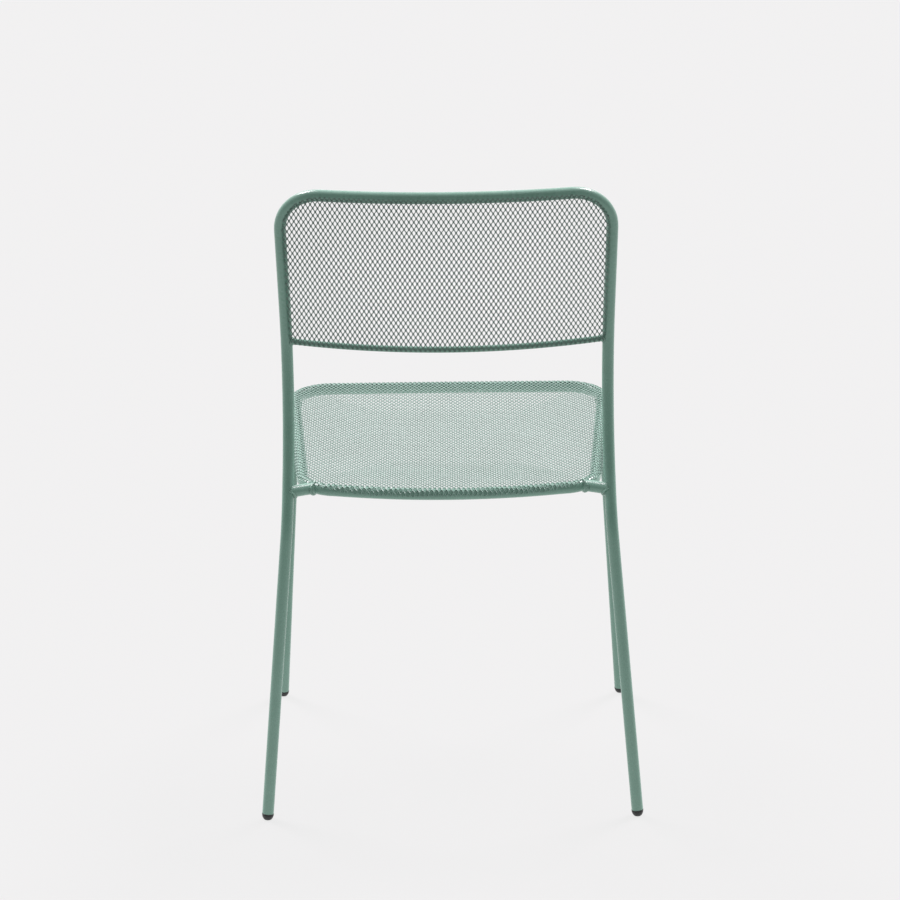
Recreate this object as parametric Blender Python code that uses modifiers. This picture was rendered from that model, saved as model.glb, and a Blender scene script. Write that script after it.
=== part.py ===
"""Stacking chair: a welded steel-tube frame with expanded-metal seat and back panels.

Metres, +Z up. The sitter faces -Y, so the backrest is on the +Y side, and left and
right are the sitter's own (left is +X). The origin is on the floor, at the middle of
the chair's footprint.
"""

from math import cos, pi, radians, sin, sqrt, tan

import bmesh
import bpy
from mathutils import Matrix, Vector

# Stock that the chair is made from.
TUBE_RADIUS = 0.0075
TUBE_WALL = 0.0012
ROD_RADIUS = 0.004
SHEET = 0.001
BEAD_START = 0.003  # weld collars, measured along the branch from the main tube's centre
BEAD_REACH = 0.0032
BEAD_LEG = 0.0022
BEAD_TOE = 0.0003
GAP = 0.0003  # clearance between touching pieces
END_TRIM = 0.0015  # how far a branch tube stops short of the centreline that it runs to

# The back hoop: one tube, given by the corners of its left half before they are bent.
REAR_FOOT = Vector((0.2385, 0.2228, 0.0))
KNEE = Vector((0.2048, 0.2044, 0.3975))
LUMBAR = Vector((0.2003, 0.1434, 0.5508))
TOP_CORNER = Vector((0.2070, 0.2138, 0.8235))
KNEE_BEND = 0.165
LUMBAR_BEND = 0.370
CORNER_BEND = 0.050
BACK_BOW = 0.0232  # how far both back rails curve away from the sitter
TOP_CROWN = 0.0028
LOWER_RAIL_HEIGHT = 0.6233
LOWER_RAIL_DIP = 0.0021

# The seat ring: a closed tube, given by its corners before they are bent.
RING_REAR = Vector((0.1847, 0.1722, 0.4308))
RING_FRONT = Vector((0.2108, -0.2185, 0.4497))
RING_REAR_BEND = 0.049
RING_FRONT_BEND = 0.050
RING_REAR_BOW = 0.0294
RING_FRONT_BOW = 0.0024
DRAIN_RADIUS = 0.0015
DRAIN_DEPTH = 0.012
LINK_LANDING = Vector((0.1704, 0.1720, 0.4308))  # where the links meet the ring's corners

# The front legs, from the underside of the ring's side tubes.
FRONT_LEG_TOP_Y = -0.1635
FRONT_FOOT = Vector((0.2356, -0.2395, 0.0))

# The foot plugs: a stem pressed into the tube and a tapered cap that meets the floor.
CAP_HEIGHT = 0.0085
CAP_RADIUS = 0.0077
STEM_LENGTH = 0.014
CAP_RIM = 0.0018  # the cap's straight band, above its taper
CAP_TAPER = 0.0030
CAP_TAPER_IN = 0.0008
TIP_RADIUS = 0.0034
TIP_ROUND = 0.0018
TIP_RISE = 0.0014
TIP_OVERRUN = 0.0006  # what the floor plane trims off the tip, so that it rests flat
STEM_CHAMFER = 0.0010
FLOOR_TOOL_SIZE = (0.7, 0.7, 0.02)

# The mesh panels.
BACK_SIDE_OVERLAP = 0.0035
BACK_TOP_OVERLAP = 0.0020
BACK_LOW_OVERLAP = 0.0016  # below the lower rail's centreline
WELD_RELIEF = 0.009  # the back panel's lower corners are snipped to clear the rail's welds
SEAT_WRAP = radians(75)
SEAT_WRAP_AT_LINK = radians(4)
LINK_CLEAR = 0.014  # the seat panel is cut away this far round each link, and eases in over
LINK_EASE = 0.060
SEAT_SAG = 0.004
WRAP_ROWS = (1.0, 0.66, 0.33, 0.0)  # rows of the sheet over the tube, as shares of the wrap
INNER_ROWS = (0.90, 0.62, 0.31)  # rows inside the ring, as shares of the way out

# How finely curves are divided.
ARC_STEPS = 5
RAIL_STEPS = 8
SIDE_STEPS = 8
RAIL_TAIL = 0.004  # shortest run between a rail's last point and the bend after it
TUBE_FACETS = 4
ROD_FACETS = 2
BEAD_SIDES = 16
PLUG_SIDES = 16
DRAIN_SIDES = 10
PANEL_COLUMNS = 17
MERGE = 0.00002

PAINT = (0.105, 0.190, 0.150, 1.0)
PAINT_ROUGHNESS = 0.42
PLASTIC = (0.012, 0.012, 0.013, 1.0)
PLASTIC_ROUGHNESS = 0.5

for leftover in list(bpy.data.objects):
    bpy.data.objects.remove(leftover, do_unlink=True)

chair = bpy.data.collections.new("stacking_chair")
cutters = bpy.data.collections.new("cutters")
bpy.context.scene.collection.children.link(chair)
bpy.context.scene.collection.children.link(cutters)


# ---------------------------------------------------------------- materials

def finish(obj, color, roughness):
    """Gives an object its own Principled BSDF material."""
    material = bpy.data.materials.new(obj.name + "_finish")
    material.use_nodes = True
    shader = material.node_tree.nodes["Principled BSDF"]
    shader.inputs["Base Color"].default_value = color
    shader.inputs["Roughness"].default_value = roughness
    shader.inputs["Metallic"].default_value = 0.0
    obj.data.materials.clear()
    obj.data.materials.append(material)
    return obj


def painted(obj):
    """Gives an object the frame's paint."""
    return finish(obj, PAINT, PAINT_ROUGHNESS)


# ---------------------------------------------------------------- paths

def bend(before, corner, after, radius, steps=ARC_STEPS):
    """The points of the arc that rounds a corner with this centreline radius."""
    arrive = (before - corner).normalized()
    leave = (after - corner).normalized()
    half = arrive.angle(leave) / 2
    centre = corner + (arrive + leave).normalized() * (radius / sin(half))
    start = corner + arrive * (radius / tan(half)) - centre
    end = corner + leave * (radius / tan(half)) - centre
    return [centre + start.slerp(end, step / steps) * radius for step in range(steps + 1)]


def mirrored(point):
    """The same point on the chair's other side."""
    return Vector((-point.x, point.y, point.z))


def back_axes():
    """Directions along the backrest's slope and square to it, away from the sitter."""
    up = Vector((0, TOP_CORNER.y - LUMBAR.y, TOP_CORNER.z - LUMBAR.z)).normalized()
    return up, Vector((0, up.z, -up.y))


def hoop_path():
    """Centreline of the back hoop, from the left foot over the top to the right foot."""
    up, rearward = back_axes()
    half = [REAR_FOOT + (KNEE - REAR_FOOT).normalized() * CAP_HEIGHT]
    half += bend(REAR_FOOT, KNEE, LUMBAR, KNEE_BEND)
    half += bend(KNEE, LUMBAR, TOP_CORNER, LUMBAR_BEND)
    top_middle = Vector((0, TOP_CORNER.y, TOP_CORNER.z))
    top = bend(LUMBAR, TOP_CORNER, top_middle, CORNER_BEND)
    span = top[0].x
    corner_end = top[-1]
    top += [corner_end.lerp(top_middle, step / RAIL_STEPS) for step in range(1, RAIL_STEPS + 1)]
    for point in top:
        rise = 1 - (point.x / span) ** 2
        point += rearward * (BACK_BOW * rise) + up * (TOP_CROWN * rise)
    half += top
    return half + [mirrored(point) for point in reversed(half[:-1])]


def upright_at(height):
    """Centre of the left upright at a height above the lumbar bend."""
    return LUMBAR.lerp(TOP_CORNER, (height - LUMBAR.z) / (TOP_CORNER.z - LUMBAR.z))


def lower_rail_path():
    """Centreline of the lower back rail, which lies against the back of the mesh plane."""
    up, rearward = back_axes()
    end = upright_at(LOWER_RAIL_HEIGHT)
    points = []
    for step in range(-RAIL_STEPS, RAIL_STEPS + 1):
        share = step / RAIL_STEPS
        rise = 1 - share * share
        offset = rearward * (BACK_BOW * rise + TUBE_RADIUS - ROD_RADIUS)
        offset -= up * (LOWER_RAIL_DIP * rise)
        points.append(Vector((-end.x * share, end.y, end.z)) + offset)
    return points


def ring_path():
    """Centreline of the seat ring, starting at the middle of the rear tube."""
    rear = []
    for step in range(RAIL_STEPS):
        share = step / RAIL_STEPS
        bow = RING_REAR_BOW * (1 - share * share)
        rear.append(Vector((RING_REAR.x * share, RING_REAR.y + bow, RING_REAR.z)))
    front = []
    for step in range(RAIL_STEPS // 2):
        share = step / (RAIL_STEPS // 2)
        bow = RING_FRONT_BOW * (1 - share * share)
        front.append(Vector((RING_FRONT.x * share, RING_FRONT.y - bow, RING_FRONT.z)))
    rear_corner = bend(rear[-1], RING_REAR, RING_FRONT, RING_REAR_BEND)
    front_corner = bend(RING_REAR, RING_FRONT, front[-1], RING_FRONT_BEND)
    rear = [point for point in rear if point.x < rear_corner[0].x - RAIL_TAIL]
    front = [point for point in front if point.x < front_corner[-1].x - RAIL_TAIL]
    side = [
        rear_corner[-1].lerp(front_corner[0], step / SIDE_STEPS) for step in range(1, SIDE_STEPS)
    ]
    half = rear + rear_corner + side + front_corner + list(reversed(front))
    path = half + [mirrored(point) for point in reversed(half[1:-1])]
    slope = (RING_FRONT.z - RING_REAR.z) / (RING_FRONT.y - RING_REAR.y)
    for point in path:
        point.z = RING_REAR.z + slope * (point.y - RING_REAR.y)
    return path


def ring_side_at(depth):
    """Centre of the ring's left side tube at a place along the seat."""
    share = (depth - RING_REAR.y) / (RING_FRONT.y - RING_REAR.y)
    return RING_REAR.lerp(RING_FRONT, share)


def link_ends():
    """Where the left seat link meets the ring's rear corner and the upright."""
    share = (RING_REAR.z - KNEE.z) / (LUMBAR.z - KNEE.z)
    upright = KNEE.lerp(LUMBAR, share)
    corner = min(ring_path(), key=lambda point: (point - LINK_LANDING).length)
    return corner, upright


# ---------------------------------------------------------------- shapes

def tube_curve(name, path, radius, cyclic=False, resolution=TUBE_FACETS):
    """A round bar of this radius along a path, as a mesh with welded caps."""
    curve = bpy.data.curves.new(name, "CURVE")
    curve.dimensions = "3D"
    curve.bevel_depth = radius
    curve.bevel_resolution = resolution
    curve.use_fill_caps = not cyclic
    curve.twist_mode = "Z_UP" if cyclic else "MINIMUM"
    spline = curve.splines.new("POLY")
    spline.points.add(len(path) - 1)
    for spot, place in zip(spline.points, path):
        spot.co = (*place, 1.0)
    spline.use_cyclic_u = cyclic
    return as_mesh(name, curve)


def as_mesh(name, curve):
    """Replaces a curve by a closed mesh of the same shape."""
    guide = bpy.data.objects.new(name + "_guide", curve)
    cutters.objects.link(guide)
    bpy.context.view_layer.update()
    evaluated = guide.evaluated_get(bpy.context.evaluated_depsgraph_get())
    mesh = bpy.data.meshes.new_from_object(evaluated)
    mesh.name = name
    shape = bmesh.new()
    shape.from_mesh(mesh)
    bmesh.ops.remove_doubles(shape, verts=shape.verts, dist=MERGE)
    bmesh.ops.recalc_face_normals(shape, faces=shape.faces)
    shape.to_mesh(mesh)
    shape.free()
    obj = bpy.data.objects.new(name, mesh)
    obj.matrix_world = guide.matrix_world
    bpy.data.objects.remove(guide, do_unlink=True)
    for face in mesh.polygons:
        face.use_smooth = len(face.vertices) == 4
    return obj


def open_ends(obj):
    """Takes the end caps off a bar, leaving its skin: only the caps hold triangles."""
    shape = bmesh.new()
    shape.from_mesh(obj.data)
    caps = [face for face in shape.faces if len(face.verts) == 3]
    bmesh.ops.delete(shape, geom=caps, context="FACES_ONLY")
    shape.to_mesh(obj.data)
    shape.free()


def hollow_tube(name, path, cyclic=False):
    """A tube of the frame's stock along a path, with open ends."""
    obj = tube_curve(name, path, TUBE_RADIUS, cyclic)
    if not cyclic:
        open_ends(obj)
    wall = obj.modifiers.new("wall", "SOLIDIFY")
    wall.thickness = TUBE_WALL
    wall.offset = -1
    wall.use_even_offset = True
    chair.objects.link(obj)
    return painted(obj)


def cutter(obj):
    """Files an object away as a hidden tool for Booleans."""
    cutters.objects.link(obj)
    obj.hide_render = True
    obj.display_type = "WIRE"
    return obj


def cut(obj, *tools):
    """Takes each tool's shape away from an object."""
    for tool in tools:
        boolean = obj.modifiers.new("cut_" + tool.name, "BOOLEAN")
        boolean.operation = "DIFFERENCE"
        boolean.solver = "EXACT"
        boolean.object = tool
    return obj


def along(direction):
    """The rotation that turns +Z onto a direction."""
    return Vector((0, 0, 1)).rotation_difference(direction).to_matrix().to_4x4()


# ---------------------------------------------------------------- the frame

hoop_line = hoop_path()
ring_line = ring_path()

back_hoop = hollow_tube("back_hoop", hoop_line)
seat_ring = hollow_tube("seat_ring", ring_line, cyclic=True)

hoop_tool = cutter(tube_curve("hoop_tool", hoop_line, TUBE_RADIUS + GAP))
ring_tool = cutter(tube_curve("ring_tool", ring_line, TUBE_RADIUS + GAP, cyclic=True))

# Drain holes under the seat ring, which would otherwise hold the rain.
for index, place in enumerate((ring_line[0], ring_line[len(ring_line) // 2])):
    shape = bmesh.new()
    bmesh.ops.create_cone(
        shape, cap_ends=True, segments=DRAIN_SIDES, radius1=DRAIN_RADIUS, radius2=DRAIN_RADIUS,
        depth=DRAIN_DEPTH, matrix=Matrix.Translation(place - Vector((0, 0, TUBE_RADIUS))),
    )
    mesh = bpy.data.meshes.new(f"drain_tool_{index + 1}")
    shape.to_mesh(mesh)
    shape.free()
    cut(seat_ring, cutter(bpy.data.objects.new(mesh.name, mesh)))

lower_rail = painted(
    tube_curve("lower_back_rail", lower_rail_path(), ROD_RADIUS, resolution=ROD_FACETS)
)
chair.objects.link(lower_rail)
cut(lower_rail, hoop_tool)


def weld_bead(name, foot, toward, branch_radius, *tools):
    """The fillet of weld metal round the foot of a branch tube: a tapered collar."""
    way = (toward - foot).normalized()
    length = TUBE_RADIUS + BEAD_REACH - BEAD_START
    middle = foot + way * (BEAD_START + length / 2)
    shape = bmesh.new()
    bmesh.ops.create_cone(
        shape, cap_ends=True, segments=BEAD_SIDES, depth=length,
        radius1=branch_radius + BEAD_LEG, radius2=branch_radius + GAP + BEAD_TOE,
        matrix=Matrix.Translation(middle) @ along(way),
    )
    mesh = bpy.data.meshes.new(name)
    shape.to_mesh(mesh)
    shape.free()
    bead = bpy.data.objects.new(name, mesh)
    chair.objects.link(bead)
    return cut(painted(bead), *tools)


def flip(vector, side):
    """A left-hand place on the left side (1) or the right side (-1)."""
    return Vector((vector.x * side, vector.y, vector.z))


def straight(name, start, end):
    """A tube between two centrelines, stopping just short of each."""
    way = (end - start).normalized()
    return hollow_tube(name, [start + way * END_TRIM, end - way * END_TRIM])


def straight_tool(name, start, end, radius):
    """A cutter in the shape of a straight bar, with clearance all round."""
    return cutter(tube_curve(name, [start, end], radius + GAP))


def side_parts(label, side):
    """Everything that the chair has once on each side, apart from the foot plugs."""
    # The short link between the seat ring's rear corner and the upright.
    corner, upright = (flip(end, side) for end in link_ends())
    link = straight("seat_link_" + label, corner, upright)
    cut(link, ring_tool, hoop_tool)
    link_tool = straight_tool("link_tool_" + label, corner, upright, TUBE_RADIUS)
    weld_bead("weld_link_ring_" + label, corner, upright, TUBE_RADIUS, ring_tool, link_tool)
    weld_bead("weld_link_upright_" + label, upright, corner, TUBE_RADIUS, hoop_tool, link_tool)

    # The front leg, coped to the underside of the ring's side tube.
    top = flip(ring_side_at(FRONT_LEG_TOP_Y), side)
    foot = flip(FRONT_FOOT, side)
    end = foot + (top - foot).normalized() * CAP_HEIGHT
    leg = hollow_tube("front_leg_" + label, [top, end])
    cut(leg, ring_tool)
    leg_tool = straight_tool("leg_tool_" + label, top, end, TUBE_RADIUS)
    weld_bead("weld_leg_ring_" + label, top, end, TUBE_RADIUS, ring_tool, leg_tool)

    # The weld at this end of the lower back rail.
    line = lower_rail_path()
    outer, inner = (line[0], line[2]) if side > 0 else (line[-1], line[-3])
    rail_tool = straight_tool("rail_tool_" + label, outer, inner, ROD_RADIUS)
    weld_bead("weld_rail_" + label, outer, inner, ROD_RADIUS, hoop_tool, rail_tool)


for label, side in (("left", 1), ("right", -1)):
    side_parts(label, side)


# ---------------------------------------------------------------- foot plugs

def foot_plug(name, foot, toward):
    """A plug on the end of a leg: a stem in the tube, and a cap cut level by the floor."""
    up = (toward - foot).normalized()
    bore = TUBE_RADIUS - TUBE_WALL - GAP
    seat = -GAP
    rim = seat - CAP_RIM
    tip = seat - CAP_HEIGHT - TIP_OVERRUN
    profile = [
        (0, STEM_LENGTH),
        (bore - STEM_CHAMFER, STEM_LENGTH),
        (bore, STEM_LENGTH - STEM_CHAMFER),
        (bore, seat),
        (CAP_RADIUS, seat),
        (CAP_RADIUS, rim),
        (CAP_RADIUS - CAP_TAPER_IN, rim - CAP_TAPER),
        (TIP_RADIUS + TIP_ROUND, tip + TIP_RISE),
        (TIP_RADIUS, tip),
        (0, tip),
    ]
    mesh = bpy.data.meshes.new(name)
    shape = bmesh.new()
    row = [shape.verts.new((radius, 0, height)) for radius, height in profile]
    for first, second in zip(row, row[1:]):
        shape.edges.new((first, second))
    shape.to_mesh(mesh)
    shape.free()
    plug = bpy.data.objects.new(name, mesh)
    plug.matrix_world = Matrix.Translation(foot + up * CAP_HEIGHT) @ along(up)
    turn = plug.modifiers.new("turn", "SCREW")
    turn.axis = "Z"
    turn.steps = PLUG_SIDES
    turn.render_steps = PLUG_SIDES
    turn.use_merge_vertices = True
    turn.merge_threshold = MERGE
    turn.use_normal_flip = False
    turn.use_normal_calculate = True
    turn.use_smooth_shade = True
    chair.objects.link(plug)
    return cut(finish(plug, PLASTIC, PLASTIC_ROUGHNESS), floor_tool)


shape = bmesh.new()
bmesh.ops.create_cube(
    shape, size=1.0,
    matrix=Matrix.Translation((0, 0, -FLOOR_TOOL_SIZE[2] / 2))
    @ Matrix.Diagonal((*FLOOR_TOOL_SIZE, 1.0)),
)
floor_mesh = bpy.data.meshes.new("floor_tool")
shape.to_mesh(floor_mesh)
shape.free()
floor_tool = cutter(bpy.data.objects.new("floor_tool", floor_mesh))

for label, side in (("left", 1), ("right", -1)):
    foot_plug("foot_plug_rear_" + label, flip(REAR_FOOT, side), flip(KNEE, side))
    foot_plug("foot_plug_front_" + label, flip(FRONT_FOOT, side),
              flip(ring_side_at(FRONT_LEG_TOP_Y), side))


# ---------------------------------------------------------------- mesh panels

def sheet(name, rows, cyclic=False, hub=None):
    """A thin sheet through rows of points; a hub closes the last row at its middle."""
    shape = bmesh.new()
    grid = [[shape.verts.new(point) for point in row] for row in rows]
    for near, far in zip(grid, grid[1:]):
        ends = len(near) if cyclic else len(near) - 1
        for index in range(ends):
            after = (index + 1) % len(near)
            shape.faces.new((near[index], near[after], far[after], far[index]))
    if hub is not None:
        middle = shape.verts.new(hub)
        last = grid[-1]
        for index, vert in enumerate(last):
            shape.faces.new((vert, last[(index + 1) % len(last)], middle))
    bmesh.ops.recalc_face_normals(shape, faces=shape.faces)
    mesh = bpy.data.meshes.new(name)
    shape.to_mesh(mesh)
    shape.free()
    for face in mesh.polygons:
        face.use_smooth = True
    obj = bpy.data.objects.new(name, mesh)
    gauge = obj.modifiers.new("gauge", "SOLIDIFY")
    gauge.thickness = SHEET
    gauge.offset = 0
    gauge.use_even_offset = True
    chair.objects.link(obj)
    return painted(obj)


def back_panel():
    """The curved back sheet, on the rear side of the top rail, uprights and lower rail."""
    up, rearward = back_axes()
    lower = upright_at(LOWER_RAIL_HEIGHT)
    slope_x = (TOP_CORNER.x - LUMBAR.x) / (TOP_CORNER - LUMBAR).length
    full_height = (TOP_CORNER.z - lower.z) / up.z
    half_width = lower.x - BACK_SIDE_OVERLAP
    corner = CORNER_BEND + BACK_TOP_OVERLAP - TUBE_RADIUS
    bottom_row = []
    top_row = []
    for index in range(-PANEL_COLUMNS, PANEL_COLUMNS + 1):
        share = sin(index / PANEL_COLUMNS * pi / 2)
        x = half_width * share
        rise = 1 - (x / TOP_CORNER.x) ** 2
        into_corner = max(0.0, abs(x) - (half_width - corner))
        drop = corner - sqrt(max(corner * corner - into_corner * into_corner, 0.0))
        into_weld = max(0.0, abs(x) - (half_width - WELD_RELIEF)) / WELD_RELIEF
        low = WELD_RELIEF * into_weld - LOWER_RAIL_DIP * rise - BACK_LOW_OVERLAP
        high = full_height + TOP_CROWN * rise + BACK_TOP_OVERLAP - drop
        base = Vector((0, lower.y, lower.z))
        base += rearward * (BACK_BOW * rise + TUBE_RADIUS + GAP + SHEET / 2)
        bottom_row.append(base + Vector((x + slope_x * low * share, 0, 0)) + up * low)
        top_row.append(base + Vector((x + slope_x * high * share, 0, 0)) + up * high)
    middle_row = [low.lerp(high, 0.5) for low, high in zip(bottom_row, top_row)]
    return sheet("back_mesh_panel", [bottom_row, middle_row, top_row])


def seat_panel():
    """The seat sheet: nearly flat inside the ring, and wrapped down over the tube."""
    count = len(ring_line)
    across = Vector((1, 0, 0))
    normal = across.cross(RING_REAR - Vector((RING_REAR.x, RING_FRONT.y, RING_FRONT.z)))
    normal.normalize()
    reach = TUBE_RADIUS + GAP + SHEET / 2
    link = link_ends()[0]
    centre = sum(ring_line, Vector()) / count
    rim = [[] for _ in WRAP_ROWS]
    crest = []
    for index, point in enumerate(ring_line):
        run = ring_line[(index + 1) % count] - ring_line[index - 1]
        outward = run.cross(normal).normalized()
        if outward.dot(point - centre) < 0:
            outward.negate()
        near = (Vector((abs(point.x), point.y, point.z)) - link).length
        ease = min(max((near - LINK_CLEAR) / LINK_EASE, 0.0), 1.0)
        wrap = SEAT_WRAP_AT_LINK + (SEAT_WRAP - SEAT_WRAP_AT_LINK) * ease
        for row, share in zip(rim, WRAP_ROWS):
            turn = wrap * share
            row.append(point + (outward * sin(turn) + normal * cos(turn)) * reach)
        crest.append(rim[-1][-1])
    hub = centre + normal * reach
    inner = []
    for share in INNER_ROWS:
        sag = normal * (SEAT_SAG * (1 - share * share))
        inner.append([hub.lerp(point, share) - sag for point in crest])
    return sheet("seat_mesh_panel", rim + inner, cyclic=True, hub=hub - normal * SEAT_SAG)


back_panel()
cut(seat_panel(), ring_tool)
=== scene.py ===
"""Stacking chair: the finished look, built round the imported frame.

Metres, +Z up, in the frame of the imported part. The sitter faces -Y, so the backrest is
on the +Y side, and left and right are the sitter's own (left is +X).
"""

from __future__ import annotations

import logging
import math
from dataclasses import dataclass, field
from enum import Enum
from functools import cache
from typing import Callable, Iterable, Sequence

import bmesh
import bpy
import numpy as np
from mathutils import Matrix, Vector

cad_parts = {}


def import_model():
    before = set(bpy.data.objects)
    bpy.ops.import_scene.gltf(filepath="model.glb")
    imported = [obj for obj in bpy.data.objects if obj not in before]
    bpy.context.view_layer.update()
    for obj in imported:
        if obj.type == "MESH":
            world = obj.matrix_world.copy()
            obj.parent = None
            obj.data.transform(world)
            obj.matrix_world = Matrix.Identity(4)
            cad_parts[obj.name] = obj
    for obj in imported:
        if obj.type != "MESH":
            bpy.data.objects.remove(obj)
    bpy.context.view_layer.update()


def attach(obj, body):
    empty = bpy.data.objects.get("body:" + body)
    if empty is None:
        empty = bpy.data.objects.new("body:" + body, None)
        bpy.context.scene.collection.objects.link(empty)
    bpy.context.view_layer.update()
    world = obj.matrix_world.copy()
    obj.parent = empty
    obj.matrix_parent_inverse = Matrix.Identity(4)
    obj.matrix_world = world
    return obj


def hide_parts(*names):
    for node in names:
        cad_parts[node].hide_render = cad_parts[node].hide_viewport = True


log = logging.getLogger("stacking_chair")

BODY = "root"
MERGE = 0.00001
CUT_SNAP = 0.000002
FLOOR_LEVEL = 0.00002
OUTLINE_DIGITS = 5


class Side(Enum):
    """The two sides of the chair, as the sitter has them."""

    LEFT = 1
    RIGHT = -1

    @property
    def label(self) -> str:
        """The side's name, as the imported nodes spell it."""
        return self.name.lower()

    def of(self, point: Vector) -> Vector:
        """The place on this side that matches a place on the left side."""
        return Vector((point.x * self.value, point.y, point.z))


# ---------------------------------------------------------------- the bench


class Bench:
    """Blender's own modelling tools, used as by hand, one piece at a time."""

    @staticmethod
    def clear() -> None:
        """Leaves nothing selected."""
        if bpy.context.mode != "OBJECT":
            bpy.ops.object.mode_set(mode="OBJECT")
        bpy.ops.object.select_all(action="DESELECT")

    @staticmethod
    def name_piece(name: str) -> bpy.types.Object:
        """Names the piece on the bench and settles its place into its mesh.

        Args:
            name: The piece's name.

        Returns:
            The piece.
        """
        piece = bpy.context.active_object
        piece.name = name
        piece.data.name = name
        bpy.ops.object.transform_apply(location=True, rotation=True, scale=True)
        return piece

    @staticmethod
    def edit(kind: str = "VERT") -> None:
        """Opens the piece for editing, with all of it selected.

        Args:
            kind: What is selected by: VERT, EDGE or FACE.
        """
        bpy.ops.object.mode_set(mode="EDIT")
        bpy.ops.mesh.select_mode(type=kind)
        bpy.ops.mesh.select_all(action="SELECT")

    @staticmethod
    def merge() -> None:
        """Merges doubles and drops what is left loose."""
        bpy.ops.mesh.select_all(action="SELECT")
        bpy.ops.mesh.remove_doubles(threshold=MERGE)
        bpy.ops.mesh.delete_loose()

    @staticmethod
    def face_out() -> None:
        """Turns every face outwards and closes the edit."""
        bpy.ops.mesh.select_all(action="SELECT")
        bpy.ops.mesh.normals_make_consistent(inside=False)
        bpy.ops.object.mode_set(mode="OBJECT")

    @staticmethod
    def close() -> None:
        """Merges doubles, turns every face outwards and closes the edit."""
        Bench.merge()
        Bench.face_out()

    @staticmethod
    def pick(piece: bpy.types.Object, kind: str, test: Callable[[object], bool]) -> int:
        """Selects only the verts, edges or faces that pass a test.

        Args:
            piece: The piece being edited.
            kind: VERT, EDGE or FACE.
            test: Says whether one of them is selected.

        Returns:
            How many were selected.
        """
        bpy.ops.mesh.select_mode(type=kind)
        bpy.ops.mesh.select_all(action="DESELECT")
        shape = bmesh.from_edit_mesh(piece.data)
        parts = {"VERT": shape.verts, "EDGE": shape.edges, "FACE": shape.faces}[kind]
        picked = [part for part in parts if test(part)]
        for part in picked:
            part.select_set(True)
        shape.select_flush_mode()
        bmesh.update_edit_mesh(piece.data)
        return len(picked)

    @staticmethod
    def apply(piece: bpy.types.Object, kind: str, **settings: object) -> None:
        """Adds a modifier to a piece and applies it.

        Args:
            piece: The piece.
            kind: The modifier's type.
            **settings: The modifier's own settings.
        """
        modifier = piece.modifiers.new(kind.lower(), kind)
        for key, value in settings.items():
            setattr(modifier, key, value)
        Bench.clear()
        bpy.context.view_layer.objects.active = piece
        piece.select_set(True)
        bpy.ops.object.modifier_apply(modifier=modifier.name)

    @staticmethod
    def smooth(piece: bpy.types.Object, degrees: float) -> None:
        """Shades a piece smooth, except over edges sharper than an angle.

        Args:
            piece: The piece.
            degrees: The sharpest angle that is still shaded smooth.
        """
        Bench.clear()
        bpy.context.view_layer.objects.active = piece
        piece.select_set(True)
        bpy.ops.object.shade_smooth_by_angle(angle=math.radians(degrees))

    @staticmethod
    def points(piece: bpy.types.Object) -> np.ndarray:
        """The places of all of a mesh's vertices, one row each.

        Args:
            piece: The piece.

        Returns:
            The places, in metres.
        """
        flat = np.empty(len(piece.data.vertices) * 3, np.float32)
        piece.data.vertices.foreach_get("co", flat)
        return flat.reshape(-1, 3).astype(np.float64)

    @staticmethod
    def move_points(piece: bpy.types.Object, places: np.ndarray) -> None:
        """Puts each vertex of a mesh at a new place."""
        piece.data.vertices.foreach_set("co", places.astype(np.float32).ravel())
        piece.data.update()


# ---------------------------------------------------------------- centrelines


def bend(before: Vector, corner: Vector, after: Vector, radius: float, steps: int) -> list[Vector]:
    """The arc that rounds a corner of a tube's centreline.

    Args:
        before: A place on the way in.
        corner: The corner before it is bent.
        after: A place on the way out.
        radius: The bend's centreline radius.
        steps: How many pieces the arc is divided into.

    Returns:
        The arc's points, in order.
    """
    arrive = (before - corner).normalized()
    leave = (after - corner).normalized()
    half = arrive.angle(leave) / 2
    centre = corner + (arrive + leave).normalized() * (radius / math.sin(half))
    start = corner + arrive * (radius / math.tan(half)) - centre
    end = corner + leave * (radius / math.tan(half)) - centre
    return [centre + start.slerp(end, step / steps) * radius for step in range(steps + 1)]


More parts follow.
